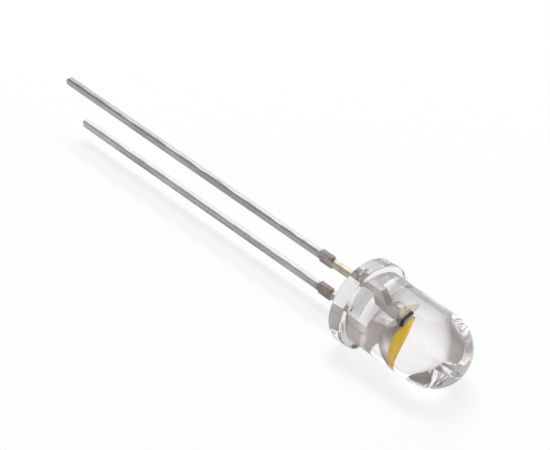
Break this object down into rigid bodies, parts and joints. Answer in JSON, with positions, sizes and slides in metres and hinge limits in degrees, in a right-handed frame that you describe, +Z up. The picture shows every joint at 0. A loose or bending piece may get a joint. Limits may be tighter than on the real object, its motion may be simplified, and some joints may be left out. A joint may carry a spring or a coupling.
{
  "type": "through hole led",
  "caption": "Clear round through-hole LED: domed lens with a flatted flange, phosphor-filled reflector cup, long anode and shorter cathode lead.",
  "frame": {"origin": "middle of the flange's rear face, where the lens axis crosses the seating plane", "axes": "+X along the lens axis towards the dome; +Z up, from the flange's flat and the cathode lead towards the anode lead; the part lies on the flat"},
  "size_m": [0.0372, 0.0058, 0.0054],
  "materials": {
    "clear_epoxy": "water-clear cast epoxy, polished by the mould",
    "tinned_strip": "dull tin plate over stamped steel strip",
    "chip": "polished crystal",
    "silver_glue": "silver-filled glue, matt",
    "phosphor": "yellow phosphor grains in silicone, matt",
    "gold_wire": "drawn gold wire"
  },
  "bodies": {
    "root": {"epoxy_lens": "clear_epoxy", "cathode_lead": "tinned_strip", "anode_lead": "tinned_strip", "led_chip": "chip", "die_attach": "silver_glue", "phosphor_fill": "phosphor", "anode_wire": "gold_wire", "cathode_wire": "gold_wire"}
  },
  "joints": []
}
